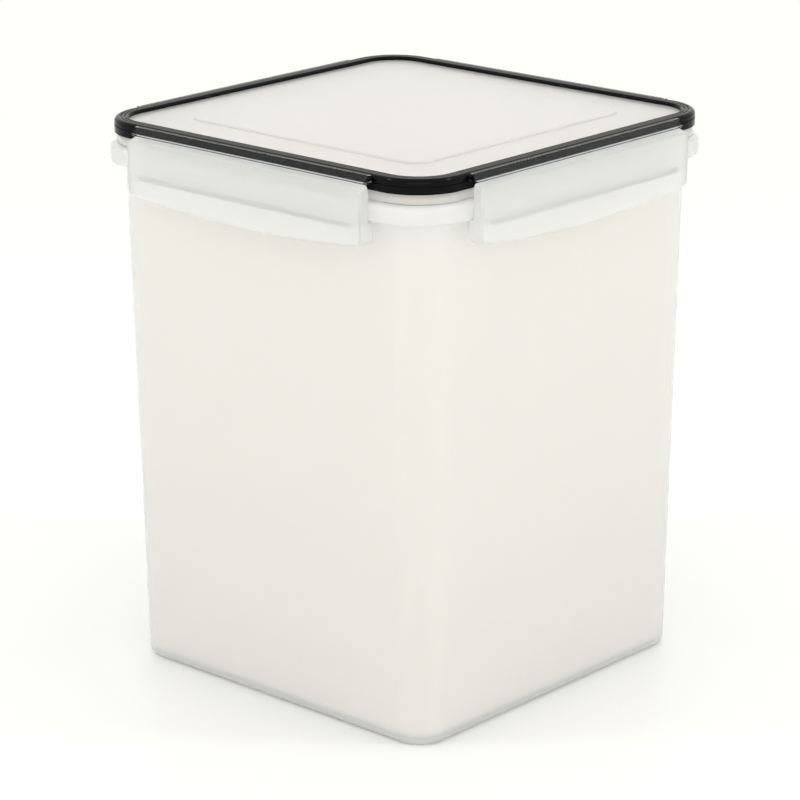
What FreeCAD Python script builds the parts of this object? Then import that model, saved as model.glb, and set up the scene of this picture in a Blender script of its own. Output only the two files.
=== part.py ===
"""Square flour container with a four-flap locking lid, in millimetres.

The container stands on z = 0, centred on the z axis. The lid carries a black
ring, a seal and one flap on each side. Each flap hangs from a clear hinge strip
and hooks under the ledge round the mouth of the container.
"""
import FreeCAD, Part
import math
import os

import Sketcher

# Driving sizes: name, millimetres, what it measures.
SIZES = (
    ("overall_height", 259.4, "floor to the top of the ring"),
    ("moving_gap", 0.3, "room between pieces that move past each other"),
    ("cut_overrun", 2.0, "how far a cut runs past the face it opens"),
    ("ring_width", 200.0, "across the ring"),
    ("ring_corner", 23.35, "corner radius of the ring"),
    ("ring_bar", 6.5, "width of the ring's bar at a corner"),
    ("ring_height", 6.75, "height of the ring's bar"),
    ("ring_crown", 2.0, "rounding of the ring's top at the corners"),
    ("ring_inner_edge", 0.6, "bevel of the ring's inner top edge"),
    ("groove_pitch", 1.7, "from the inner edge to a groove, and between grooves"),
    ("groove_width", 0.7, "width of a groove in the ring's top"),
    ("groove_depth", 0.5, "depth of a groove in the ring's top"),
    ("strip_drop", 0.4, "from the ring's top to the strip's top"),
    ("strip_height", 3.2, "from the strip's top down to the hinge line"),
    ("strip_brim", 1.4, "how far a strip's top stands out from the ring"),
    ("strip_foot", 3.3, "how far a strip stands out at the hinge line"),
    ("strip_sheet", 0.6, "thickness of a strip's face"),
    ("strip_web", 0.4, "thickness of a strip's underside"),
    ("strip_cap", 1.2, "thickness of a strip's ends"),
    ("rib_fit", 0.05, "room between a strip and the ring's rib inside it"),
    ("root_inset", 4.0, "from a strip's end in to the end of its root"),
    ("root_depth", 3.5, "how far a strip's root reaches in under the ring"),
    ("root_proud", 1.5, "how far a strip's root stands out from the ring"),
    ("bead_radius", 0.5, "radius of the bead that the flap turns on"),
    ("bead_clearance", 0.050983, "running room between the bead and the flap's top"),
    ("flap_inset", 29.1, "from the ring's side in to the end of a flap"),
    ("flap_stand", 7.1, "how far the flap's face stands out from the ring"),
    ("flap_brow", 1.3, "how far the flap's top slopes down to its face"),
    ("flap_height", 30.6, "hinge line to the middle of the lower edge"),
    ("flap_plate", 1.6, "thickness of the flap's plate"),
    ("flap_arch", 4.2, "rise of the lower edge from middle to ends"),
    ("flap_corner", 3.0, "rounding of the flap's corners"),
    ("flap_edge", 0.8, "bevel of the edge round the flap's face"),
    ("end_wall", 2.2, "thickness of the flap's end walls"),
    ("catch_inset", 7.0, "from a flap's end in to the end of its catch"),
    ("catch_height", 3.2, "height of the flap's catch at the plate"),
    ("catch_lip", 1.2, "height of the catch at its tip"),
    ("catch_grip", 1.6, "how far the catch reaches under the flat of the ledge"),
    ("panel_drop", 1.8, "from the ring's top to the panel"),
    ("panel_thick", 2.0, "thickness of the lid's panel"),
    ("channel_width", 23.0, "from the ring in to the raised middle of the panel"),
    ("plateau_rise", 1.0, "height of the raised middle"),
    ("plateau_corner", 9.0, "corner radius of the raised middle"),
    ("plateau_edge", 0.6, "bevel of the raised middle's edge"),
    ("channel_wall", 2.0, "wall between the panel and the ring's seat"),
    ("shoulder_thick", 1.75, "thickness of the ring's seat"),
    ("skirt_inset", 1.1, "from the ring's outer face in to the skirt"),
    ("skirt_height", 4.3, "from the ring's seat to the skirt's lower edge"),
    ("skirt_thick", 1.6, "thickness of the skirt"),
    ("plug_thick", 1.8, "thickness of the wall that enters the mouth"),
    ("plug_gap", 1.2, "from that wall to the mouth"),
    ("plug_depth", 4.5, "how far that wall hangs below the ring's seat"),
    ("seal_thick", 1.8, "thickness of the seal"),
    ("seal_width", 3.6, "width of the seal"),
    ("seal_groove_width", 1.0, "width of the groove in the seal's top"),
    ("seal_groove_depth", 0.7, "depth of the groove in the seal's top"),
    ("wall_inset", 4.8, "from the ring's outer face in to the wall under the ledge"),
    ("wall_draft", 4.9, "how far a wall leans in from the ledge down to the foot"),
    ("wall_thick", 2.2, "thickness of the wall at the foot and the rim"),
    ("floor_thick", 2.2, "thickness of the container's floor"),
    ("foot_edge", 4.0, "rounding of the foot's outer edge"),
    ("floor_edge", 2.5, "bevel inside, round the floor"),
    ("foot_recess", 1.4, "depth of the recess under the floor"),
    ("stack_gap", 2.5, "room in that recess round the raised middle of a lid"),
    ("foot_recess_corner", 11.0, "corner radius of that recess"),
    ("rim_inset", 5.4, "from the ring's outer face in to the rim that meets the seal"),
    ("ledge_height", 8.65, "height of the ledge"),
    ("ledge_proud", 2.0, "how far the ledge stands out past the ring"),
    ("ledge_upper_edge", 3.0, "rounding of the ledge's upper edge"),
    ("ledge_lower_edge", 0.8, "bevel of the ledge's lower edge"),
)

# Places worked out from the driving sizes.
PLACES = (
    ("ring_half", "Sizes.ring_width / 2"),
    ("core_half", "ring_half - Sizes.ring_corner"),
    ("ring_inner", "ring_half - Sizes.ring_bar"),
    ("bay_face", "ring_half - Sizes.root_depth"),
    ("root_face", "ring_half + Sizes.root_proud"),
    ("root_half", "flap_half - Sizes.root_inset"),
    ("strip_outer", "ring_half + Sizes.strip_brim"),
    ("hinge_reach", "ring_half + Sizes.strip_foot"),
    ("strip_slope", "(Sizes.strip_foot - Sizes.strip_brim) / Sizes.strip_height"),
    ("strip_inner_half", "flap_half - Sizes.strip_cap"),
    ("strip_inner_level", "hinge_level + Sizes.strip_web"),
    ("strip_inner_low", "hinge_reach - strip_slope * Sizes.strip_web - Sizes.strip_sheet"),
    ("strip_inner_high", "strip_outer - strip_slope * Sizes.cut_overrun - Sizes.strip_sheet"),
    ("rib_half", "strip_inner_half - Sizes.rib_fit"),
    ("rib_bottom", "strip_inner_level + Sizes.rib_fit"),
    ("rib_root", "ring_half - Sizes.ring_crown"),
    ("rib_low", "strip_inner_low - (1 + strip_slope) * Sizes.rib_fit"),
    ("rib_high", "strip_outer - Sizes.strip_sheet - Sizes.rib_fit"),
    ("ring_bottom", "Sizes.overall_height - Sizes.ring_height"),
    ("strip_top", "Sizes.overall_height - Sizes.strip_drop"),
    ("hinge_level", "strip_top - Sizes.strip_height"),
    ("flap_half", "ring_half - Sizes.flap_inset"),
    ("flap_length", "2 * flap_half"),
    ("panel_top", "Sizes.overall_height - Sizes.panel_drop"),
    ("panel_bottom", "panel_top - Sizes.panel_thick"),
    ("channel_inner", "ring_inner - Sizes.channel_wall"),
    ("skirt_half", "ring_half - Sizes.skirt_inset"),
    ("skirt_inner", "skirt_half - Sizes.skirt_thick"),
    ("skirt_bottom", "ring_bottom - Sizes.skirt_height"),
    ("shoulder_bottom", "ring_bottom - Sizes.shoulder_thick"),
    ("plug_half", "mouth_half - Sizes.plug_gap"),
    ("plug_inner", "plug_half - Sizes.plug_thick"),
    ("plug_bottom", "shoulder_bottom - Sizes.plug_depth"),
    ("plateau_half", "ring_inner - Sizes.channel_width"),
    ("plateau_hollow", "plateau_half - Sizes.panel_thick"),
    ("rim_half", "ring_half - Sizes.rim_inset"),
    ("mouth_half", "rim_half - Sizes.wall_thick"),
    ("rim_top", "shoulder_bottom - Sizes.seal_thick"),
    ("seal_middle", "rim_half - Sizes.wall_thick / 2"),
    ("seal_inner", "seal_middle - Sizes.seal_width / 2"),
    ("seal_outer", "seal_middle + Sizes.seal_width / 2"),
    ("ledge_top", "skirt_bottom - Sizes.moving_gap"),
    ("ledge_bottom", "ledge_top - Sizes.ledge_height"),
    ("ledge_half", "ring_half + Sizes.ledge_proud"),
    ("wall_top_half", "ring_half - Sizes.wall_inset"),
    ("base_half", "wall_top_half - Sizes.wall_draft"),
    ("floor_top", "Sizes.foot_recess + Sizes.floor_thick"),
    ("floor_half", "base_half - Sizes.wall_thick"),
    ("recess_half", "plateau_half + Sizes.stack_gap"),
    ("flap_root", "ledge_half + Sizes.moving_gap"),
    ("flap_face", "ring_half + Sizes.flap_stand"),
    ("brow_slope", "Sizes.flap_brow / (flap_face - flap_root)"),
    ("brow_room", "(Sizes.bead_radius + Sizes.bead_clearance) * sqrt(1 + brow_slope ^ 2)"),
    ("flap_top", "hinge_level - brow_room + brow_slope * (hinge_reach - flap_root)"),
    ("face_top", "flap_top - Sizes.flap_brow"),
    ("flap_bottom", "hinge_level - Sizes.flap_height"),
    ("arch_radius", "flap_half ^ 2 / (2 * Sizes.flap_arch) + Sizes.flap_arch / 2"),
    ("arch_centre", "flap_bottom + arch_radius"),
    ("arch_reach", "flap_half + Sizes.cut_overrun"),
    ("arch_low", "flap_bottom - Sizes.cut_overrun"),
    ("hollow_half", "flap_half - Sizes.end_wall"),
    ("hollow_top", "face_top - Sizes.flap_plate"),
    ("hollow_face", "flap_face - Sizes.flap_plate"),
    ("hollow_inner", "catch_inner - Sizes.cut_overrun"),
    ("hollow_crest", "hollow_top + brow_slope * (hollow_face - hollow_inner)"),
    ("catch_top", "ledge_bottom - Sizes.moving_gap"),
    ("catch_bottom", "catch_top - Sizes.catch_height"),
    ("catch_nose", "catch_top - Sizes.catch_lip"),
    ("catch_heart", "flap_face - Sizes.flap_plate / 2"),
    ("catch_inner", "ledge_half - Sizes.ledge_lower_edge - Sizes.catch_grip"),
    ("catch_length", "flap_length - 2 * Sizes.catch_inset"),
)

SIDES = ("front", "right", "back", "left")
QUARTER_TURN = 90.0
EDGE_SIZES = {"Fillet": "Radius", "Chamfer": "Size"}
RING_GROOVES = 2

# Two places nearer than this, in millimetres, are the same place.
SAME_PLACE = 1e-4

doc = FreeCAD.newDocument("flour_container")


def fill_sheet(name, rows):
    """Makes a sheet with one aliased cell for each (alias, text, note)."""
    sheet = doc.addObject("Spreadsheet::Sheet", name)
    for row, (alias, text, note) in enumerate(rows, start=1):
        sheet.set(f"A{row}", alias)
        sheet.set(f"B{row}", text)
        sheet.set(f"C{row}", note)
        sheet.setAlias(f"B{row}", alias)
    return sheet


sizes = fill_sheet("Sizes", [(alias, str(value), note) for alias, value, note in SIZES])
places = fill_sheet("Places", [(alias, "=" + formula, formula) for alias, formula in PLACES])
doc.recompute()


def number(formula):
    """The value of a formula in the sheets' names."""
    return float(places.evalExpression(formula))


def new_body(label):
    """A body named for its piece."""
    body = doc.addObject("PartDesign::Body", label)
    body.Label = label
    return body


def origin_part(body, role):
    """One of the body's own origin planes or axes."""
    return next(part for part in body.Origin.OriginFeatures if part.Role == role)


def new_sketch(body, name, plane="XY_Plane", level="0"):
    """A sketch on one of the body's planes, raised by a formula along its normal."""
    sketch = body.newObject("Sketcher::SketchObject", name)
    sketch.AttachmentSupport = [(origin_part(body, plane), "")]
    sketch.MapMode = "FlatFace"
    sketch.setExpression("AttachmentOffset.Base.z", level)
    return sketch


def bind(sketch, constraint, formula):
    """Adds a constraint whose value follows a formula."""
    index = sketch.addConstraint(constraint)
    sketch.setExpression(f"Constraints[{index}]", formula)


def pin_point(sketch, shape, point, across, up):
    """Ties a point of a shape to two formulas measured from the sketch's origin."""
    for kind, axis, formula in (("DistanceX", -2, across), ("DistanceY", -1, up)):
        value = number(formula)
        if value > 0:
            bind(sketch, Sketcher.Constraint(kind, -1, 1, shape, point, value), formula)
        elif value < 0:
            bind(sketch, Sketcher.Constraint(kind, shape, point, -1, 1, -value), f"-({formula})")
        else:
            sketch.addConstraint(Sketcher.Constraint("PointOnObject", shape, point, axis))


def draw_rounded_square(sketch, half, centre="Places.core_half"):
    """A rounded square that reaches half each way, with arcs centred at centre each way."""
    middle = number(centre)
    radius = number(half) - middle
    arcs = []
    for turn in range(len(SIDES)):
        start = math.radians(QUARTER_TURN * turn)
        end = math.radians(QUARTER_TURN * (turn + 1))
        between = (start + end) / 2
        x = math.copysign(middle, math.cos(between))
        y = math.copysign(middle, math.sin(between))
        circle = Part.Circle(FreeCAD.Vector(x, y, 0), FreeCAD.Vector(0, 0, 1), radius)
        arcs.append(sketch.addGeometry(Part.ArcOfCircle(circle, start, end)))
    for turn, arc in enumerate(arcs):
        following = arcs[(turn + 1) % len(arcs)]
        here = sketch.Geometry[arc].EndPoint
        there = sketch.Geometry[following].StartPoint
        line = sketch.addGeometry(Part.LineSegment(here, there))
        sketch.addConstraint(Sketcher.Constraint("Tangent", arc, 2, line, 1))
        sketch.addConstraint(Sketcher.Constraint("Tangent", line, 2, following, 1))
        sketch.addConstraint(Sketcher.Constraint("Vertical" if turn % 2 else "Horizontal", line))
    for arc in arcs[1:]:
        sketch.addConstraint(Sketcher.Constraint("Equal", arcs[0], arc))
    sketch.addConstraint(Sketcher.Constraint("Symmetric", arcs[0], 3, arcs[2], 3, -1, 1))
    pin_point(sketch, arcs[0], 3, centre, centre)
    bind(sketch, Sketcher.Constraint("Radius", arcs[0], radius), f"{half} - {centre}")


def draw_polygon(sketch, corners):
    """A closed outline through corners given as pairs of formulas."""
    points = [FreeCAD.Vector(number(across), number(up), 0) for across, up in corners]
    lines = []
    for index, point in enumerate(points):
        following = points[(index + 1) % len(points)]
        lines.append(sketch.addGeometry(Part.LineSegment(point, following)))
    for index, line in enumerate(lines):
        following = lines[(index + 1) % len(lines)]
        sketch.addConstraint(Sketcher.Constraint("Coincident", line, 2, following, 1))
        pin_point(sketch, line, 1, *corners[index])


def draw_circle(sketch, across, up, radius):
    """A circle at a place given by two formulas."""
    middle = FreeCAD.Vector(number(across), number(up), 0)
    circle = sketch.addGeometry(Part.Circle(middle, FreeCAD.Vector(0, 0, 1), number(radius)))
    pin_point(sketch, circle, 3, across, up)
    bind(sketch, Sketcher.Constraint("Radius", circle, number(radius)), radius)


def extrude(feature, sketch, length, both_ways, backwards):
    """Gives a pad or pocket its sketch, length and direction."""
    feature.Profile = sketch
    feature.setExpression("Length", length)
    feature.Midplane = both_ways
    feature.Reversed = backwards
    doc.recompute()
    return feature


def pad(body, name, sketch, length, both_ways=False):
    """Adds a sketch's area to the body, along its normal or both ways."""
    feature = body.newObject("PartDesign::Pad", name)
    return extrude(feature, sketch, length, both_ways, backwards=False)


def pocket(body, name, sketch, length, both_ways=False):
    """Cuts a sketch's area out of the body, along its normal or both ways."""
    before = body.Shape.Volume
    feature = body.newObject("PartDesign::Pocket", name)
    extrude(feature, sketch, length, both_ways, backwards=not both_ways)
    if not body.Shape.Volume < before:
        raise RuntimeError(f"{name} cut nothing")
    return feature


def pad_square(body, name, level, top, half, centre="Places.core_half"):
    """A rounded plate between two levels."""
    sketch = new_sketch(body, name + "_outline", level=level)
    draw_rounded_square(sketch, half, centre)
    return pad(body, name, sketch, f"{top} - {level}")


def pad_frame(body, name, level, top, outer, inner):
    """A rounded square frame between two levels."""
    sketch = new_sketch(body, name + "_outline", level=level)
    draw_rounded_square(sketch, outer)
    draw_rounded_square(sketch, inner)
    return pad(body, name, sketch, f"{top} - {level}")


def cut_groove(body, name, level, depth, outer, inner):
    """A rounded square groove cut down from a level."""
    sketch = new_sketch(body, name + "_outline", level=f"{level} - {depth}")
    draw_rounded_square(sketch, outer)
    draw_rounded_square(sketch, inner)
    return pocket(body, name, sketch, depth)


def loft(body, name, kind, sections):
    """A ruled loft through rounded squares given as (level, half)."""
    sketches = []
    for index, (level, half) in enumerate(sections):
        sketch = new_sketch(body, f"{name}_section_{index}", level=level)
        draw_rounded_square(sketch, half)
        sketches.append(sketch)
    doc.recompute()
    feature = body.newObject(f"PartDesign::{kind}Loft", name)
    feature.Profile = sketches[0]
    feature.Sections = sketches[1:]
    feature.Ruled = True
    doc.recompute()
    return feature


def finish_edges(body, kind, name, size, chosen):
    """Rounds or bevels the edges of the body's last feature that a test picks."""
    last = body.Tip
    edges = enumerate(last.Shape.Edges, start=1)
    names = [f"Edge{index}" for index, edge in edges if chosen(edge)]
    if not names:
        raise RuntimeError(f"{name} found no edge")
    feature = body.newObject(f"PartDesign::{kind}", name)
    feature.Base = (last, names)
    feature.setExpression(EDGE_SIZES[kind], size)
    doc.recompute()
    return feature


def finish_loop(body, kind, name, size, level, half):
    """Rounds or bevels the square of edges that lies at a level and reaches half each way."""
    height = number(level)
    reach = number(half)

    def on_loop(edge):
        box = edge.BoundBox
        furthest = max(-box.XMin, box.XMax, -box.YMin, box.YMax)
        flat = abs(box.ZMin - height) < SAME_PLACE and abs(box.ZMax - height) < SAME_PLACE
        return flat and abs(furthest - reach) < SAME_PLACE

    return finish_edges(body, kind, name, size, on_loop)


def repeat_on_sides(body, feature):
    """Repeats a feature of the front on the other sides."""
    pattern = body.newObject("PartDesign::PolarPattern", feature.Name + "_sides")
    pattern.Originals = [feature]
    pattern.Axis = (origin_part(body, "Z_Axis"), [""])
    pattern.Angle = QUARTER_TURN * len(SIDES)
    pattern.Occurrences = len(SIDES)
    body.Tip = pattern
    doc.recompute()
    return pattern


def turn_to_side(body, index):
    """Turns a piece made for the front to another side."""
    axis = FreeCAD.Vector(0, 0, 1)
    turn = FreeCAD.Rotation(axis, QUARTER_TURN * index)
    body.Placement = FreeCAD.Placement(FreeCAD.Vector(0, 0, 0), turn)


def make_container():
    """The open container: drafted walls, stacking foot, ledge for the flaps, rim."""
    body = new_body("container_body")
    ledge_bottom = "Places.ledge_bottom"
    ledge_top = "Places.ledge_top"
    rim_top = "Places.rim_top"
    wall = (("0", "Places.base_half"), (ledge_bottom, "Places.wall_top_half"))
    loft(body, "wall", "Additive", wall)
    finish_loop(body, "Fillet", "foot_edge", "Sizes.foot_edge", "0", "Places.base_half")
    ledge_half = "Places.ledge_half"
    pad_square(body, "ledge", ledge_bottom, ledge_top, ledge_half)
    finish_loop(body, "Fillet", "ledge_upper_edge", "Sizes.ledge_upper_edge", ledge_top, ledge_half)
    finish_loop(body, "Chamfer", "ledge_lower_edge", "Sizes.ledge_lower_edge", ledge_bottom, ledge_half)
    pad_square(body, "rim", ledge_top, rim_top, "Places.rim_half")
    inside = (("Places.floor_top", "Places.floor_half"), (rim_top, "Places.mouth_half"))
    loft(body, "inside", "Subtractive", inside)
    finish_loop(body, "Chamfer", "floor_edge", "Sizes.floor_edge", "Places.floor_top", "Places.floor_half")
    recess = new_sketch(body, "foot_recess_outline")
    centre = "(Places.recess_half - Sizes.foot_recess_corner)"
    draw_rounded_square(recess, "Places.recess_half", centre)
    pocket(body, "foot_recess", recess, "Sizes.foot_recess")
    return body


def make_lid_panel():
    """The clear lid: raised middle, seat for the ring, skirt and the plug wall."""
    body = new_body("lid_panel")
    panel_top = "Places.panel_top"
    panel_bottom = "Places.panel_bottom"
    seat = "Places.ring_bottom"
    under_seat = "Places.shoulder_bottom"
    crest = f"({panel_top} + Sizes.plateau_rise)"
    centre = "(Places.plateau_half - Sizes.plateau_corner)"
    pad_square(body, "panel", panel_bottom, panel_top, "Places.ring_inner")
    pad_square(body, "plateau", panel_top, crest, "Places.plateau_half", centre)
    finish_loop(body, "Chamfer", "plateau_edge", "Sizes.plateau_edge", crest, "Places.plateau_half")
    hollow = new_sketch(body, "plateau_hollow_outline", level=panel_bottom)
    draw_rounded_square(hollow, "Places.plateau_hollow", centre)
    pocket(body, "plateau_hollow", hollow, "Sizes.plateau_rise")
    pad_frame(body, "channel", seat, panel_bottom, "Places.ring_inner", "Places.channel_inner")
    pad_frame(body, "shoulder", under_seat, seat, "Places.skirt_half", "Places.plug_inner")
    pad_frame(body, "skirt", "Places.skirt_bottom", under_seat, "Places.skirt_half", "Places.skirt_inner")
    pad_frame(body, "plug", "Places.plug_bottom", under_seat, "Places.plug_half", "Places.plug_inner")
    return body


def cut_root_bays(body):
    """Cuts the ring's sides back below the hinge line for the strips' roots."""
    half = "Places.root_half"
    near = "-Places.bay_face"
    far = "-(Places.ring_half + Sizes.cut_overrun)"
    outline = new_sketch(body, "root_bay_outline", level="Places.ring_bottom")
    draw_polygon(outline, ((f"-{half}", near), (half, near), (half, far), (f"-{half}", far)))
    repeat_on_sides(body, pocket(body, "root_bay", outline, "Places.hinge_level - Places.ring_bottom"))


def add_ribs(body):
    """The sloping ribs on the ring's sides that the strips cover."""
    section = new_sketch(body, "rib_section", "YZ_Plane")
    corners = (
        ("-Places.rib_root", "Places.rib_bottom"),
        ("-Places.rib_root", "Places.strip_top"),
        ("-Places.rib_high", "Places.strip_top"),
        ("-Places.rib_low", "Places.rib_bottom"),
    )
    draw_polygon(section, corners)
    repeat_on_sides(body, pad(body, "rib", section, "2 * Places.rib_half", both_ways=True))


def make_ring():
    """The black ring: grooved top and side, rounded edges, ribs and bays for the strips."""
    body = new_body("rim_ring")
    top = "Sizes.overall_height"
    bottom = "Places.ring_bottom"
    hinge = "Places.hinge_level"
    pad_frame(body, "bar", bottom, top, "Places.ring_half", "Places.ring_inner")
    finish_loop(body, "Fillet", "crown", "Sizes.ring_crown", top, "Places.ring_half")
    finish_loop(body, "Chamfer", "inner_edge", "Sizes.ring_inner_edge", top, "Places.ring_inner")
    for index in range(1, RING_GROOVES + 1):
        middle = f"(Places.ring_inner + {index} * Sizes.groove_pitch)"
        outer = f"({middle} + Sizes.groove_width / 2)"
        inner = f"({middle} - Sizes.groove_width / 2)"
        cut_groove(body, f"groove_{index}", top, "Sizes.groove_depth", outer, inner)
    width = "Sizes.groove_width"
    outside = "(Places.ring_half + Sizes.cut_overrun)"
    behind = "(Places.ring_half - Sizes.groove_depth)"
    cut_groove(body, "side_groove", f"({hinge} + {width})", width, outside, behind)
    cut_root_bays(body)
    add_ribs(body)
    return body


def make_seal():
    """The seal between the ring's seat and the container's rim."""
    body = new_body("seal_gasket")
    top = "Places.shoulder_bottom"
    pad_frame(body, "seal", "Places.rim_top", top, "Places.seal_outer", "Places.seal_inner")
    outer = "(Places.seal_middle + Sizes.seal_groove_width / 2)"
    inner = "(Places.seal_middle - Sizes.seal_groove_width / 2)"
    cut_groove(body, "seal_groove", top, "Sizes.seal_groove_depth", outer, inner)
    return body


def make_hinge_strip(side, index):
    """The clear strip over the ring's rib, its root under the ring, and the flap's bead."""
    body = new_body(f"hinge_strip_{side}")
    hinge = "Places.hinge_level"
    section = new_sketch(body, "strip_section", "YZ_Plane")
    corners = (
        ("-Places.ring_half", hinge),
        ("-Places.ring_half", "Places.strip_top"),
        ("-Places.strip_outer", "Places.strip_top"),
        ("-Places.hinge_reach", hinge),
    )
    draw_polygon(section, corners)
    pad(body, "strip", section, "Places.flap_length", both_ways=True)
    inside = new_sketch(body, "inside_section", "YZ_Plane")
    open_top = "Places.strip_top + Sizes.cut_overrun"
    corners = (
        ("-Places.rib_root", "Places.strip_inner_level"),
        ("-Places.rib_root", open_top),
        ("-Places.strip_inner_high", open_top),
        ("-Places.strip_inner_low", "Places.strip_inner_level"),
    )
    draw_polygon(inside, corners)
    pocket(body, "inside", inside, "2 * Places.strip_inner_half", both_ways=True)
    root = new_sketch(body, "root_section", "YZ_Plane")
    corners = (
        ("-Places.bay_face", "Places.ring_bottom"),
        ("-Places.bay_face", hinge),
        ("-Places.root_face", hinge),
        ("-Places.root_face", "Places.ring_bottom"),
    )
    draw_polygon(root, corners)
    pad(body, "root", root, "2 * Places.root_half", both_ways=True)
    bead = new_sketch(body, "bead_section", "YZ_Plane")
    draw_circle(bead, "-Places.hinge_reach", hinge, "Sizes.bead_radius")
    pad(body, "bead", bead, "Places.flap_length", both_ways=True)
    turn_to_side(body, index)
    return body


def draw_arch(sketch):
    """The area under the flap's arched lower edge."""
    radius = number("Places.arch_radius")
    reach = number("Places.arch_reach")
    low = number("Places.arch_low")
    middle = FreeCAD.Vector(0, number("Places.arch_centre"), 0)
    lean = math.asin(reach / radius)
    down = -math.pi / 2
    circle = Part.Circle(middle, FreeCAD.Vector(0, 0, 1), radius)
    arc = sketch.addGeometry(Part.ArcOfCircle(circle, down - lean, down + lean))
    left = sketch.Geometry[arc].StartPoint
    right = sketch.Geometry[arc].EndPoint
    corners = (right, FreeCAD.Vector(reach, low, 0), FreeCAD.Vector(-reach, low, 0), left)
    drop, floor, rise = [
        sketch.addGeometry(Part.LineSegment(here, there)) for here, there in zip(corners, corners[1:])
    ]
    for here, there in ((arc, drop), (drop, floor), (floor, rise), (rise, arc)):
        sketch.addConstraint(Sketcher.Constraint("Coincident", here, 2, there, 1))
    sketch.addConstraint(Sketcher.Constraint("Vertical", drop))
    sketch.addConstraint(Sketcher.Constraint("Vertical", rise))
    pin_point(sketch, floor, 1, "Places.arch_reach", "Places.arch_low")
    pin_point(sketch, floor, 2, "-Places.arch_reach", "Places.arch_low")
    pin_point(sketch, arc, 3, "0", "Places.arch_centre")
    bind(sketch, Sketcher.Constraint("Radius", arc, radius), "Places.arch_radius")


def round_flap(body):
    """Rounds the flap's four corners, then bevels the edge round its face."""
    end = number("Places.flap_half")
    face = number("Places.flap_face")

    def on_face(vertex):
        return abs(-vertex.Point.y - face) < SAME_PLACE

    def across_end(edge):
        box = edge.BoundBox
        at_end = abs(max(-box.XMin, box.XMax) - end) < SAME_PLACE and box.XLength < SAME_PLACE
        return at_end and box.YLength > box.ZLength and any(map(on_face, edge.Vertexes))

    def round_face(edge):
        return all(map(on_face, edge.Vertexes))

    finish_edges(body, "Fillet", "corners", "Sizes.flap_corner", across_end)
    finish_edges(body, "Chamfer", "face_edge", "Sizes.flap_edge", round_face)


def hollow_flap(body):
    """Leaves the flap a plate with a sloping top and a wall at each end."""
    section = new_sketch(body, "hollow_section", "YZ_Plane")
    corners = (
        ("-Places.hollow_inner", "Places.arch_low"),
        ("-Places.hollow_face", "Places.arch_low"),
        ("-Places.hollow_face", "Places.hollow_top"),
        ("-Places.hollow_inner", "Places.hollow_crest"),
    )
    draw_polygon(section, corners)
    pocket(body, "hollow", section, "2 * Places.hollow_half", both_ways=True)


def add_catch(body):
    """The catch that hooks under the ledge, with a sloping underside."""
    section = new_sketch(body, "catch_section", "YZ_Plane")
    corners = (
        ("-Places.catch_heart", "Places.catch_top"),
        ("-Places.catch_inner", "Places.catch_top"),
        ("-Places.catch_inner", "Places.catch_nose"),
        ("-Places.catch_heart", "Places.catch_bottom"),
    )
    draw_polygon(section, corners)
    pad(body, "catch", section, "Places.catch_length", both_ways=True)


def make_flap(side, index):
    """A locking flap: hollow, with a sloping top, an arched lower edge and a catch."""
    body = new_body(f"flap_{side}")
    section = new_sketch(body, "outer_section", "YZ_Plane")
    corners = (
        ("-Places.flap_root", "Places.flap_top"),
        ("-Places.flap_face", "Places.face_top"),
        ("-Places.flap_face", "Places.flap_bottom"),
        ("-Places.catch_inner", "Places.flap_bottom"),
        ("-Places.catch_inner", "Places.catch_top"),
        ("-Places.flap_root", "Places.catch_top"),
    )
    draw_polygon(section, corners)
    pad(body, "outer_form", section, "Places.flap_length", both_ways=True)
    arch = new_sketch(body, "arch_outline", "XZ_Plane")
    draw_arch(arch)
    pocket(body, "arch", arch, "2 * (Places.flap_face + Sizes.cut_overrun)", both_ways=True)
    round_flap(body)
    hollow_flap(body)
    add_catch(body)
    turn_to_side(body, index)
    return body


def make_pieces():
    """Every piece of the container and its lid."""
    pieces = [make_container(), make_lid_panel(), make_ring(), make_seal()]
    for index, side in enumerate(SIDES):
        pieces.append(make_hinge_strip(side, index))
        pieces.append(make_flap(side, index))
    doc.recompute()
    return pieces


def check_pieces(pieces):
    """Stops if any object failed or any piece isn't one valid solid."""
    for item in doc.Objects:
        if "Invalid" in item.State or "Error" in item.State:
            raise RuntimeError(f"{item.Label} failed: {item.State}")
    for piece in pieces:
        shape = piece.Shape
        if shape.isNull() or not shape.isValid() or len(shape.Solids) != 1:
            raise RuntimeError(f"{piece.Label} isn't one valid solid")


def write_pieces(pieces):
    """Writes each piece to a file with its name."""
    os.makedirs("parts", exist_ok=True)
    for piece in pieces:
        piece.Shape.exportStep(f"parts/{piece.Label}.step")


all_pieces = make_pieces()
check_pieces(all_pieces)
write_pieces(all_pieces)
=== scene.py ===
"""Looks of a square flour container with a four-flap locking lid.

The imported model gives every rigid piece. This script gives each piece its finish,
fills the container with flour, and sets up the floor, the light and the camera.
"""

import logging
import math
from dataclasses import dataclass
from enum import Enum
from functools import lru_cache
from typing import Any

import bpy
from mathutils import Matrix, Vector


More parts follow.
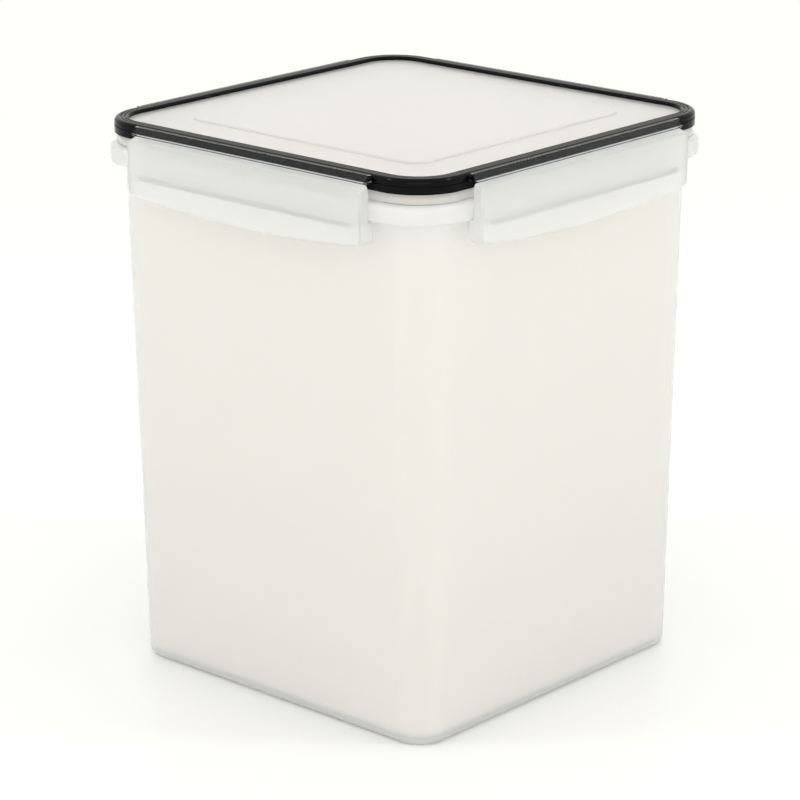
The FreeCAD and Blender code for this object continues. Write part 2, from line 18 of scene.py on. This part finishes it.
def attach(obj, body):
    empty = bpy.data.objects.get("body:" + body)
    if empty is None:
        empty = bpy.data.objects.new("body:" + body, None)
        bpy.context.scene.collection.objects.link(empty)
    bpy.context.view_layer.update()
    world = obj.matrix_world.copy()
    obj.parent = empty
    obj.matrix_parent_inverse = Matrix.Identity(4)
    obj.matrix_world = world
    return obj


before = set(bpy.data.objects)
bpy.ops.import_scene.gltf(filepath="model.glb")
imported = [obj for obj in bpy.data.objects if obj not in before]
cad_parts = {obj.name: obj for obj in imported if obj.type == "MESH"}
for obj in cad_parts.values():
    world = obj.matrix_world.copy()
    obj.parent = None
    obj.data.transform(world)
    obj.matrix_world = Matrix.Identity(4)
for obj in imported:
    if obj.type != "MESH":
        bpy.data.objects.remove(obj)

LOG = logging.getLogger("flour_container")
MM = 0.001
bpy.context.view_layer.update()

# The white of the room and of the far floor.
BACKDROP = "FFFFFB"

# Refractive index of polypropylene.
POLYPROPYLENE_IOR = 1.49

# The middle of a noise texture's range, and the power that turns a spacing into a number per area.
NOISE_MIDDLE = 0.5
PER_SQUARE = -2.0


class Side(Enum):
    """The four sides of the container, in the order of their quarter turns."""

    FRONT = "front"
    RIGHT = "right"
    BACK = "back"
    LEFT = "left"


def linear(hex_colour: str) -> tuple[float, float, float, float]:
    """Turns an sRGB hex colour into linear light.

    Args:
        hex_colour: Six hex digits, with or without a leading #.

    Returns:
        Red, green, blue and a full alpha.
    """
    digits = hex_colour.lstrip("#")
    channels = [int(digits[place:place + 2], 16) / 255 for place in (0, 2, 4)]
    toe, gain, lift, power = 0.04045, 12.92, 0.055, 2.4
    light = [c / gain if c <= toe else ((c + lift) / (1 + lift)) ** power for c in channels]
    return (*light, 1.0)


def per_metre(millimetres: float) -> float:
    """The texture scale whose features are about that many millimetres across."""
    return 1 / (millimetres * MM)


def add_node(
    tree: bpy.types.NodeTree, kind: str, inputs: dict[Any, Any] | None = None, **settings: Any
) -> bpy.types.Node:
    """Adds one node with its settings and inputs.

    Args:
        tree: The tree that takes the node.
        kind: The node's type, such as ShaderNodeBsdfPrincipled.
        inputs: Values or output sockets, by the input's name or place.
        settings: Attributes of the node.

    Returns:
        The new node.
    """
    node = tree.nodes.new(kind)
    for name, value in settings.items():
        setattr(node, name, value)
    for key, value in (inputs or {}).items():
        socket = node.inputs[key]
        if isinstance(value, bpy.types.NodeSocket):
            tree.links.new(value, socket)
        else:
            socket.default_value = value
    return node


@dataclass(frozen=True)
class Finish:
    """A material named for what the real one is.

    Attributes:
        name: The material's name.
    """

    name: str

    def shade(self, tree: bpy.types.NodeTree) -> bpy.types.NodeSocket:
        """Builds the shader and returns the socket that goes to the surface."""
        raise NotImplementedError

    @lru_cache
    def material(self) -> bpy.types.Material:
        """Makes the material, once for each finish.

        Returns:
            The material.
        """
        material = bpy.data.materials.new(self.name)
        material.use_nodes = True
        tree = material.node_tree
        tree.nodes.clear()
        surface = self.shade(tree)
        add_node(tree, "ShaderNodeOutputMaterial", {"Surface": surface})
        return material


@dataclass(frozen=True)
class Polypropylene(Finish):
    """Moulded polypropylene that lets light through.

    The surface copies a polished mould, so it is glossy with a faint waviness. The
    haze inside the plastic blurs what is behind it and makes it a little white.

    Attributes:
        tint: sRGB colour of the plastic.
        clarity: Share of the light that goes through rather than back from the haze.
        roughness: How far the haze blurs what is seen through it.
        wave_mm: Width of the mould's waviness.
        wave_depth_mm: Depth of that waviness.
        wave_detail: Finer layers in that waviness.
        ior: Refractive index.
        skin: Share of the surface that has the mould's full polish, over the haze.
        skin_roughness: Roughness of that polish.
    """

    tint: str
    clarity: float
    roughness: float
    wave_mm: float = 9.0
    wave_depth_mm: float = 0.02
    wave_detail: float = 1.0
    ior: float = POLYPROPYLENE_IOR
    skin: float = 0.0
    skin_roughness: float = 0.06

    def shade(self, tree: bpy.types.NodeTree) -> bpy.types.NodeSocket:
        """Builds the clear plastic, which lets lamp light through to what it covers.

        Args:
            tree: The material's empty tree.

        Returns:
            The socket that goes to the surface.
        """
        place = add_node(tree, "ShaderNodeTexCoord").outputs["Object"]
        wave = add_node(
            tree,
            "ShaderNodeTexNoise",
            {"Vector": place, "Scale": per_metre(self.wave_mm), "Detail": self.wave_detail},
        )
        bump = add_node(
            tree,
            "ShaderNodeBump",
            {"Height": wave.outputs["Fac"], "Distance": self.wave_depth_mm * MM, "Strength": 1.0},
        )
        plastic = add_node(
            tree,
            "ShaderNodeBsdfPrincipled",
            {
                "Base Color": linear(self.tint),
                "Roughness": self.roughness,
                "IOR": self.ior,
                "Transmission Weight": self.clarity,
                "Coat Weight": self.skin,
                "Coat Roughness": self.skin_roughness,
                "Normal": bump.outputs["Normal"],
                "Coat Normal": bump.outputs["Normal"],
            },
        )
        through = add_node(tree, "ShaderNodeBsdfTransparent")
        rays = add_node(tree, "ShaderNodeLightPath")
        mix = add_node(
            tree,
            "ShaderNodeMixShader",
            {0: rays.outputs["Is Shadow Ray"], 1: plastic.outputs[0], 2: through.outputs[0]},
        )
        return mix.outputs[0]


@dataclass(frozen=True)
class BlackPolypropylene(Finish):
    """Glossy black moulded polypropylene, with soft handling marks in its gloss.

    Attributes:
        colour: sRGB colour of the plastic.
        mark_mm: Width of the marks.
        mark_detail: Finer layers in the marks.
        smoothest: Roughness where the gloss is full.
        roughest: Roughness where the marks dull it.
        mirror_level: How much of the room it mirrors, where 0.5 is a clean surface.
    """

    colour: str = "030304"
    mark_mm: float = 6.0
    mark_detail: float = 1.0
    smoothest: float = 0.07
    roughest: float = 0.12
    mirror_level: float = 0.12

    def shade(self, tree: bpy.types.NodeTree) -> bpy.types.NodeSocket:
        """Builds the black gloss with a little unevenness in its roughness.

        Args:
            tree: The material's empty tree.

        Returns:
            The socket that goes to the surface.
        """
        place = add_node(tree, "ShaderNodeTexCoord").outputs["Object"]
        marks = add_node(
            tree,
            "ShaderNodeTexNoise",
            {"Vector": place, "Scale": per_metre(self.mark_mm), "Detail": self.mark_detail},
        )
        gloss = add_node(
            tree,
            "ShaderNodeMapRange",
            {"Value": marks.outputs["Fac"], "To Min": self.smoothest, "To Max": self.roughest},
        )
        black = add_node(
            tree,
            "ShaderNodeBsdfPrincipled",
            {
                "Base Color": linear(self.colour),
                "Roughness": gloss.outputs["Result"],
                "IOR": POLYPROPYLENE_IOR,
                "Specular IOR Level": self.mirror_level,
            },
        )
        return black.outputs[0]


@dataclass(frozen=True)
class Silicone(Finish):
    """Milky silicone rubber with a soft, matt skin.

    Attributes:
        colour: sRGB colour of the rubber.
        roughness: How matt its skin is.
        ior: Refractive index.
        grain_mm: Width of the grain.
        grain_depth_mm: Depth of the grain.
        grain_strength: How plainly the grain shows.
    """

    colour: str = "E4E6E4"
    roughness: float = 0.55
    ior: float = 1.41
    grain_mm: float = 0.5
    grain_depth_mm: float = 0.02
    grain_strength: float = 0.6

    def shade(self, tree: bpy.types.NodeTree) -> bpy.types.NodeSocket:
        """Builds the matt rubber with a fine grain.

        Args:
            tree: The material's empty tree.

        Returns:
            The socket that goes to the surface.
        """
        place = add_node(tree, "ShaderNodeTexCoord").outputs["Object"]
        grain = add_node(
            tree,
            "ShaderNodeTexNoise",
            {"Vector": place, "Scale": per_metre(self.grain_mm)},
        )
        bump = add_node(
            tree,
            "ShaderNodeBump",
            {
                "Height": grain.outputs["Fac"],
                "Distance": self.grain_depth_mm * MM,
                "Strength": self.grain_strength,
            },
        )
        rubber = add_node(
            tree,
            "ShaderNodeBsdfPrincipled",
            {
                "Base Color": linear(self.colour),
                "Roughness": self.roughness,
                "IOR": self.ior,
                "Normal": bump.outputs["Normal"],
            },
        )
        return rubber.outputs[0]


@dataclass(frozen=True)
class WheatFlour(Finish):
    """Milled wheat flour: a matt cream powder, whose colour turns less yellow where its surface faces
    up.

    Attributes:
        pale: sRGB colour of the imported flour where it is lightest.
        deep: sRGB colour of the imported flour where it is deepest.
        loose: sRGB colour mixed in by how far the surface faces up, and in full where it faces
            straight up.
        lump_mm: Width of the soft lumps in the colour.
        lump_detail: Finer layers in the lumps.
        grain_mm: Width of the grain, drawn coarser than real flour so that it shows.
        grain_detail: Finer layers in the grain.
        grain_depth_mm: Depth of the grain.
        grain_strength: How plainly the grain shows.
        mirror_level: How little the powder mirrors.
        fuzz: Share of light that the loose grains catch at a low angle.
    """

    pale: str = "FFF1D5"
    deep: str = "FCEACB"
    loose: str = "F2EEE5"
    lump_mm: float = 14.0
    lump_detail: float = 4.0
    grain_mm: float = 0.9
    grain_detail: float = 2.0
    grain_depth_mm: float = 0.12
    grain_strength: float = 0.5
    mirror_level: float = 0.1
    fuzz: float = 0.1

    def shade(self, tree: bpy.types.NodeTree) -> bpy.types.NodeSocket:
        """Builds the powder with lumps in its colour and a fine grain.

        Args:
            tree: The material's empty tree.

        Returns:
            The socket that goes to the surface.
        """
        place = add_node(tree, "ShaderNodeTexCoord").outputs["Object"]
        lumps = add_node(
            tree,
            "ShaderNodeTexNoise",
            {"Vector": place, "Scale": per_metre(self.lump_mm), "Detail": self.lump_detail},
        )
        lumpy_tone = add_node(
            tree,
            "ShaderNodeMixRGB",
            {"Fac": lumps.outputs["Fac"], "Color1": linear(self.pale), "Color2": linear(self.deep)},
        )
        # The colour follows the surface's facing alone: the more it faces up, the more it turns to the
        # less yellow tone.
        facing = add_node(tree, "ShaderNodeNewGeometry").outputs["Normal"]
        upward = add_node(tree, "ShaderNodeSeparateXYZ", {"Vector": facing}).outputs["Z"]
        colour = add_node(
            tree,
            "ShaderNodeMixRGB",
            {"Fac": upward, "Color1": lumpy_tone.outputs["Color"], "Color2": linear(self.loose)},
            use_clamp=True,
        )
        grain = add_node(
            tree,
            "ShaderNodeTexNoise",
            {"Vector": place, "Scale": per_metre(self.grain_mm), "Detail": self.grain_detail},
        )
        bump = add_node(
            tree,
            "ShaderNodeBump",
            {
                "Height": grain.outputs["Fac"],
                "Distance": self.grain_depth_mm * MM,
                "Strength": self.grain_strength,
            },
        )
        powder = add_node(
            tree,
            "ShaderNodeBsdfPrincipled",
            {
                "Base Color": colour.outputs["Color"],
                "Roughness": 1.0,
                "Specular IOR Level": self.mirror_level,
                "Sheen Weight": self.fuzz,
                "Normal": bump.outputs["Normal"],
            },
        )
        return powder.outputs[0]


@dataclass(frozen=True)
class PaintedFloor(Finish):
    """A smooth white studio floor that mirrors a little at a low angle and fades out far away.

    Attributes:
        colour: sRGB colour of the paint.
        roughness: How satin the paint is.
        ior: Refractive index.
        fade_from: Metres from the container at which the backdrop begins.
        fade_to: Metres from the container at which only the backdrop is left.
    """

    colour: str = "F6F6F4"
    roughness: float = 0.25
    ior: float = 1.45
    fade_from: float = 0.6
    fade_to: float = 1.2

    def shade(self, tree: bpy.types.NodeTree) -> bpy.types.NodeSocket:
        """Builds the floor, which turns to the plain backdrop with distance.

        Args:
            tree: The material's empty tree.

        Returns:
            The socket that goes to the surface.
        """
        place = add_node(tree, "ShaderNodeTexCoord").outputs["Object"]
        reach = add_node(tree, "ShaderNodeVectorMath", {0: place}, operation="LENGTH")
        fade = add_node(
            tree,
            "ShaderNodeMapRange",
            {"Value": reach.outputs["Value"], "From Min": self.fade_from, "From Max": self.fade_to},
            interpolation_type="SMOOTHSTEP",
        )
        paint = add_node(
            tree,
            "ShaderNodeBsdfPrincipled",
            {"Base Color": linear(self.colour), "Roughness": self.roughness, "IOR": self.ior},
        )
        distant = add_node(tree, "ShaderNodeEmission", {"Color": linear(BACKDROP), "Strength": 1.0})
        mix = add_node(
            tree,
            "ShaderNodeMixShader",
            {0: fade.outputs["Result"], 1: paint.outputs[0], 2: distant.outputs[0]},
        )
        return mix.outputs[0]


def square_loop(half: float, centre: float, level: float, steps: int) -> list[Vector]:
    """One rounded square, seen from above.

    Args:
        half: How far it reaches each way.
        centre: How far out its corner arcs are centred.
        level: Its height.
        steps: Stretches along each corner arc.

    Returns:
        Its points, anticlockwise.
    """
    points = []
    for quarter in range(len(Side)):
        start = quarter * math.pi / 2
        middle = start + math.pi / 4
        across = math.copysign(centre, math.cos(middle))
        along = math.copysign(centre, math.sin(middle))
        hub = Vector((across, along, level))
        for step in range(steps + 1):
            angle = start + step / steps * math.pi / 2
            points.append(hub + Vector((math.cos(angle), math.sin(angle), 0)) * (half - centre))
    return points


def join_loops(name: str, loops: list[list[Vector]]) -> bpy.types.Mesh:
    """A closed mesh through loops of equal length, with both ends capped.

    Args:
        name: The mesh's name.
        loops: The loops, from the lower end to the upper end.

    Returns:
        The mesh.
    """
    count = len(loops[0])
    points = [point for loop in loops for point in loop]
    faces = []
    for row in range(len(loops) - 1):
        low = row * count
        for place in range(count):
            following = (place + 1) % count
            faces.append((low + place, low + following, low + count + following, low + count + place))
    faces.append(tuple(reversed(range(count))))
    faces.append(tuple(range(len(points) - count, len(points))))
    mesh = bpy.data.meshes.new(name)
    mesh.from_pydata(points, [], faces)
    mesh.shade_smooth()
    return mesh


@dataclass
class FlourFill:
    """The flour: it fills the container to just below the ledge, with a soft uneven top.

    Attributes:
        gap: Room between the flour and the wall, in metres.
        floor_level: Height of the container's inner floor.
        floor_half: Half the width inside at the floor.
        mouth_level: Height of the mouth.
        mouth_half: Half the width inside at the mouth.
        corner_centre: How far out the corner arcs are centred.
        floor_edge: Bevel inside, round the floor.
        edge_band: Height of the narrow band that keeps the bevel's edge crisp.
        top_level: Height of the flour at the wall.
        swell: How far the top rises and falls.
        swell_width: Width of one rise or fall.
        swell_detail: Finer layers in the rise and fall.
        swell_roughness: How strong those finer layers are.
        settled_share: Share of the swell that is left at the wall.
        settled_growth: How fast the swell grows to full from the wall inwards.
        clump_size: Radius of the largest clump before it is stretched.
        clump_spacing: About how far apart the clumps lie.
        clump_from: Share of the swell above which clumps lie.
        clump_smoothness: How often a clump's faces are divided.
        clump_least: The smallest stretch of a clump, each way.
        clump_most: The largest stretch of a clump, each way.
        seed: Seed of the clumps.
        arc_steps: Stretches along each corner arc.
        rise_steps: Rows of faces up the wall.
        top_steps: Rows of faces from the wall to the middle.
    """

    gap: float = 0.25 * MM
    floor_level: float = 3.6 * MM
    floor_half: float = 88.1 * MM
    mouth_level: float = 249.1 * MM
    mouth_half: float = 92.4 * MM
    corner_centre: float = 76.65 * MM
    floor_edge: float = 2.5 * MM
    edge_band: float = 0.5 * MM
    top_level: float = 236.0 * MM
    swell: float = 5.0 * MM
    swell_width: float = 60.0 * MM
    swell_detail: float = 3.0
    swell_roughness: float = 0.4
    settled_share: float = 0.3
    settled_growth: float = 3.0
    clump_size: float = 1.6 * MM
    clump_spacing: float = 24.0 * MM
    clump_from: float = 0.6
    clump_smoothness: int = 2
    clump_least: tuple[float, float, float] = (0.4, 0.4, 0.3)
    clump_most: tuple[float, float, float] = (1.2, 1.2, 0.7)
    seed: int = 7
    arc_steps: int = 10
    rise_steps: int = 12
    top_steps: int = 36

    def half_at(self, level: float) -> float:
        """Half the width of the flour at a height."""
        share = (level - self.floor_level) / (self.mouth_level - self.floor_level)
        return self.floor_half + (self.mouth_half - self.floor_half) * share - self.gap

    def loops(self) -> list[list[Vector]]:
        """The flour's rounded squares.

        Returns:
            The loops from the floor, up the wall and over the top to the middle.
        """
        loops = []
        foot = self.floor_level + self.gap
        for rise in (0.0, self.floor_edge, self.floor_edge + self.edge_band):
            half = self.half_at(foot + rise) - max(0.0, self.floor_edge - rise)
            loops.append(square_loop(half, self.corner_centre, foot + rise, self.arc_steps))
        start = foot + self.floor_edge + self.edge_band
        for step in range(1, self.rise_steps + 1):
            level = start + (self.top_level - start) * step / self.rise_steps
            loops.append(square_loop(self.half_at(level), self.corner_centre, level, self.arc_steps))
        brim = loops[-1]
        hub = Vector((0, 0, self.top_level))
        for step in range(1, self.top_steps):
            loops.append([point.lerp(hub, step / self.top_steps) for point in brim])
        return loops

    def heap_tree(self) -> bpy.types.NodeTree:
        """The rule that raises the flour's top unevenly and scatters small clumps on it.

        Returns:
            The tree, with named inputs for its sizes.
        """
        tree = bpy.data.node_groups.new("flour_heap", "GeometryNodeTree")
        sockets = (
            ("Geometry", "NodeSocketGeometry"),
            ("Swell", "NodeSocketFloat"),
            ("Swell Width", "NodeSocketFloat"),
            ("Clump Size", "NodeSocketFloat"),
            ("Clump Spacing", "NodeSocketFloat"),
            ("Seed", "NodeSocketInt"),
            ("Material", "NodeSocketMaterial"),
        )
        for name, kind in sockets:
            tree.interface.new_socket(name=name, in_out="INPUT", socket_type=kind)
        tree.interface.new_socket(name="Geometry", in_out="OUTPUT", socket_type="NodeSocketGeometry")
        given = add_node(tree, "NodeGroupInput").outputs
        loose = add_node(tree, "GeometryNodeInputNamedAttribute", {"Name": "loose"}, data_type="FLOAT")
        place = add_node(tree, "GeometryNodeInputPosition").outputs[0]
        scale = add_node(tree, "ShaderNodeMath", {0: 1.0, 1: given["Swell Width"]}, operation="DIVIDE")
        noise = add_node(
            tree,
            "ShaderNodeTexNoise",
            {
                "Vector": place,
                "Scale": scale.outputs[0],
                "Detail": self.swell_detail,
                "Roughness": self.swell_roughness,
            },
        )
        centred = add_node(
            tree, "ShaderNodeMath", {0: noise.outputs["Fac"], 1: NOISE_MIDDLE}, operation="SUBTRACT"
        )
        sized = add_node(
            tree, "ShaderNodeMath", {0: centred.outputs[0], 1: given["Swell"]}, operation="MULTIPLY"
        )
        weighed = add_node(
            tree,
            "ShaderNodeMath",
            {0: sized.outputs[0], 1: loose.outputs["Attribute"]},
            operation="MULTIPLY",
        )
        lift = add_node(tree, "ShaderNodeCombineXYZ", {"Z": weighed.outputs[0]})
        heap = add_node(
            tree,
            "GeometryNodeSetPosition",
            {"Geometry": given["Geometry"], "Offset": lift.outputs[0]},
        )
        spread = add_node(
            tree, "ShaderNodeMath", {0: given["Clump Spacing"], 1: PER_SQUARE}, operation="POWER"
        )
        on_top = add_node(
            tree,
            "ShaderNodeMath",
            {0: loose.outputs["Attribute"], 1: self.clump_from},
            operation="GREATER_THAN",
        )
        spots = add_node(
            tree,
            "GeometryNodeDistributePointsOnFaces",
            {
                "Mesh": heap.outputs[0],
                "Selection": on_top.outputs[0],
                "Density": spread.outputs[0],
                "Seed": given["Seed"],
            },
        )
        ball = add_node(
            tree,
            "GeometryNodeMeshIcoSphere",
            {"Radius": given["Clump Size"], "Subdivisions": self.clump_smoothness},
        )
        stretch = add_node(
            tree,
            "FunctionNodeRandomValue",
            {0: self.clump_least, 1: self.clump_most, "Seed": given["Seed"]},
            data_type="FLOAT_VECTOR",
        )
        clumps = add_node(
            tree,
            "GeometryNodeInstanceOnPoints",
            {
                "Points": spots.outputs["Points"],
                "Instance": ball.outputs["Mesh"],
                "Scale": stretch.outputs[0],
            },
        )
        both = add_node(tree, "GeometryNodeJoinGeometry")
        tree.links.new(clumps.outputs[0], both.inputs[0])
        tree.links.new(heap.outputs[0], both.inputs[0])
        real = add_node(tree, "GeometryNodeRealizeInstances", {0: both.outputs[0]})
        smooth = add_node(tree, "GeometryNodeSetShadeSmooth", {0: real.outputs[0]})
        dressed = add_node(
            tree,
            "GeometryNodeSetMaterial",
            {"Geometry": smooth.outputs[0], "Material": given["Material"]},
        )
        add_node(tree, "NodeGroupOutput", {0: dressed.outputs[0]})
        return tree

    def build(self, finish: Finish) -> bpy.types.Object:
        """Makes the flour and lets it move with the container.

        Args:
            finish: The flour's finish.

        Returns:
            The flour.
        """
        loops = self.loops()
        mesh = join_loops("flour_fill", loops)
        loose = mesh.attributes.new("loose", "FLOAT", "POINT")
        per_loop = len(loops[0])
        for index in range(self.top_steps):
            share = index / (self.top_steps - 1)
            weight = min(1.0, self.settled_share + self.settled_growth * share)
            row = len(loops) - self.top_steps + index
            for place in range(per_loop):
                loose.data[row * per_loop + place].value = weight
        flour = bpy.data.objects.new("flour_fill", mesh)
        bpy.context.scene.collection.objects.link(flour)
        heap = flour.modifiers.new("heap", "NODES")
        heap.node_group = self.heap_tree()
        values = {
            "Swell": self.swell,
            "Swell Width": self.swell_width,
            "Clump Size": self.clump_size,
            "Clump Spacing": self.clump_spacing,
            "Seed": self.seed,
            "Material": finish.material(),
        }
        for item in heap.node_group.interface.items_tree:
            if item.in_out == "INPUT" and item.name in values:
                heap[item.identifier] = values[item.name]
        graph = bpy.context.evaluated_depsgraph_get()
        settled = bpy.data.meshes.new_from_object(flour.evaluated_get(graph))
        flour.modifiers.remove(heap)
        flour.data = settled
        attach(flour, "container")
        return flour


@dataclass
class Container:
    """The tub and the flour in it.

    Attributes:
        wall: The tub's finish.
        powder: The flour's finish.
        flour: The flour's shape.
    """

    wall: Finish
    powder: Finish
    flour: FlourFill

    def dress(self) -> list[bpy.types.Object]:
        """Gives the tub its finish and fills it.

        Returns:
            The tub and the flour.
        """
        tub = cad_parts["container_body"]
        dress_node(tub, self.wall)
        return [tub, self.flour.build(self.powder)]


@dataclass
class Lid:
    """The lid with its ring, seal, hinge strips and flaps.

    Attributes:
        panel: Finish of the lid's panel.
        strip: Finish of the hinge strips.
        flap: Finish of the flaps.
        ring: Finish of the ring.
        seal: Finish of the seal.
    """

    panel: Finish
    strip: Finish
    flap: Finish
    ring: Finish
    seal: Finish

    def dress(self) -> list[bpy.types.Object]:
        """Gives each piece of the lid its finish.

        Returns:
            The pieces.
        """
        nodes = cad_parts
        finishes = {"lid_panel": self.panel, "rim_ring": self.ring, "seal_gasket": self.seal}
        for side in Side:
            finishes[f"hinge_strip_{side.value}"] = self.strip
            finishes[f"flap_{side.value}"] = self.flap
        for name, finish in finishes.items():
            dress_node(nodes[name], finish)
        return [nodes[name] for name in finishes]


def dress_node(node: bpy.types.Object, finish: Finish) -> None:
    """Gives a rigid piece its finish."""
    node.data.materials.clear()
    node.data.materials.append(finish.material())


def toward(turn: float, height: float) -> Vector:
    """A direction away from the container.

    Args:
        turn: Turn about the vertical from the front, in degrees.
        height: Height angle, in degrees.

    Returns:
        The direction, one metre long.
    """
    azimuth = math.radians(turn)
    elevation = math.radians(height)
    level = math.cos(elevation)
    return Vector((math.sin(azimuth) * level, -math.cos(azimuth) * level, math.sin(elevation)))


@dataclass
class Studio:
    """The floor, the light and the camera.

    Attributes:
        azimuth: Camera's turn about the vertical, in degrees.
        elevation: Camera's height angle, in degrees.
        roll: Camera's roll, in degrees.
        distance: From the camera to its target, in metres.
        aim_across: The target's place along the picture's width, from the axis.
        aim_level: The target's height.
        focal_px: Focal length in pixels of the picture.
        picture_px: Width of the picture in pixels.
        sensor_mm: Width of the camera's sensor.
        floor_half: Half the width of the floor, in metres.
        floor_drop: How far the floor lies under the foot.
        ambient: Strength of the room as a light, where 1 is its strength to the eye.
    """

    azimuth: float = 42.214
    elevation: float = 17.43
    roll: float = -0.242
    distance: float = 1522.98 * MM
    aim_across: float = -3.098 * MM
    aim_level: float = 122.396 * MM
    focal_px: float = 3271.55
    picture_px: float = 800.0
    sensor_mm: float = 36.0
    floor_half: float = 2.0
    floor_drop: float = 0.1 * MM
    ambient: float = 1.08

    def directions(self) -> tuple[Vector, Vector, Vector]:
        """The camera's own axes.

        Returns:
            Its right, up and back directions.
        """
        back = toward(self.azimuth, self.elevation)
        azimuth = math.radians(self.azimuth)
        right = Vector((math.cos(azimuth), math.sin(azimuth), 0))
        up = back.cross(right)
        roll = math.radians(self.roll)
        return (
            right * math.cos(roll) + up * math.sin(roll),
            up * math.cos(roll) - right * math.sin(roll),
            back,
        )

    def add_camera(self) -> None:
        """Puts the camera where the picture was taken from."""
        right, up, back = self.directions()
        azimuth = math.radians(self.azimuth)
        target = Vector(
            (math.cos(azimuth) * self.aim_across, math.sin(azimuth) * self.aim_across, self.aim_level)
        )
        lens = bpy.data.cameras.new("camera")
        lens.sensor_width = self.sensor_mm
        lens.lens = self.focal_px / self.picture_px * self.sensor_mm
        camera = bpy.data.objects.new("camera", lens)
        turn = Matrix((right, up, back)).transposed().to_4x4()
        camera.matrix_world = Matrix.Translation(target + back * self.distance) @ turn
        bpy.context.scene.collection.objects.link(camera)
        bpy.context.scene.camera = camera

    def add_floor(self, finish: Finish) -> None:
        """Lays the floor just under the container's foot.

        Args:
            finish: The floor's finish.
        """
        half = self.floor_half
        corners = [(-half, -half), (half, -half), (half, half), (-half, half)]
        mesh = bpy.data.meshes.new("studio_floor")
        mesh.from_pydata([(x, y, -self.floor_drop) for x, y in corners], [], [(0, 1, 2, 3)])
        mesh.materials.append(finish.material())
        floor = bpy.data.objects.new("studio_floor", mesh)
        bpy.context.scene.collection.objects.link(floor)

    def add_lamp(
        self, name: str, turn: float, height: float, reach: float, size: float, power: float
    ) -> None:
        """Hangs a soft square lamp that points at the container.

        Args:
            name: The lamp's name.
            turn: Its turn about the vertical, measured as the camera's is, in degrees.
            height: Its height angle, in degrees.
            reach: Its distance, in metres.
            size: Its width, in metres.
            power: Its power, in watts.
        """
        light = bpy.data.lights.new(name, "AREA")
        light.size = size
        light.energy = power
        lamp = bpy.data.objects.new(name, light)
        away = toward(turn, height)
        lamp.location = Vector((0, 0, self.aim_level)) + away * reach
        lamp.rotation_euler = away.to_track_quat("Z", "Y").to_euler()
        bpy.context.scene.collection.objects.link(lamp)

    def add_world(self) -> None:
        """Surrounds the container with a white room, a little stronger as a light than to the eye."""
        world = bpy.data.worlds.new("white_room")
        world.use_nodes = True
        tree = world.node_tree
        tree.nodes.clear()
        rays = add_node(tree, "ShaderNodeLightPath").outputs
        looked_at = add_node(
            tree,
            "ShaderNodeMath",
            {0: rays["Is Camera Ray"], 1: rays["Is Glossy Ray"]},
            operation="MAXIMUM",
        )
        seen = add_node(
            tree,
            "ShaderNodeMath",
            {0: looked_at.outputs[0], 1: rays["Is Transmission Ray"]},
            operation="MAXIMUM",
        )
        strength = add_node(
            tree,
            "ShaderNodeMapRange",
            {"Value": seen.outputs[0], "To Min": self.ambient, "To Max": 1.0},
        )
        room = add_node(
            tree,
            "ShaderNodeBackground",
            {"Color": linear(BACKDROP), "Strength": strength.outputs["Result"]},
        )
        add_node(tree, "ShaderNodeOutputWorld", {"Surface": room.outputs[0]})
        bpy.context.scene.world = world

    def build(self) -> None:
        """Sets up the whole studio."""
        self.add_camera()
        self.add_floor(PaintedFloor("white_floor_paint"))
        self.add_world()
        self.add_lamp("key_lamp", turn=120, height=50, reach=1.6, size=0.15, power=2.5)
        self.add_lamp("fill_lamp", turn=-35, height=50, reach=1.6, size=0.15, power=2.0)
        self.add_lamp("front_lamp", turn=42, height=1, reach=1.8, size=1.5, power=6)
        bpy.context.scene.view_settings.view_transform = "Standard"


def main() -> None:
    """Builds every piece and the studio, and notes the sizes."""
    logging.basicConfig(level=logging.INFO)
    container = Container(
        wall=Polypropylene(
            "natural_polypropylene_wall", tint="FCFCFB", clarity=0.48, roughness=0.25, skin=0.4
        ),
        powder=WheatFlour("wheat_flour"),
        flour=FlourFill(),
    )
    clear = Polypropylene(
        "polished_clear_polypropylene", tint="FBFDFE", clarity=1.0, roughness=0.08, ior=1.22
    )
    hazy = Polypropylene(
        "hazy_polypropylene_flap", tint="FBFCFA", clarity=0.7, roughness=0.32, ior=1.45, skin=0.8
    )
    lid = Lid(
        panel=Polypropylene("hazy_polypropylene_panel", tint="FBF9F7", clarity=0.62, roughness=0.3),
        strip=clear,
        flap=hazy,
        ring=BlackPolypropylene("black_polypropylene_ring"),
        seal=Silicone("milky_silicone"),
    )
    for piece in container.dress() + lid.dress():
        LOG.info("dressed %s with %d faces", piece.name, len(piece.data.polygons))
    Studio().build()


if __name__ == "__main__":
    main()
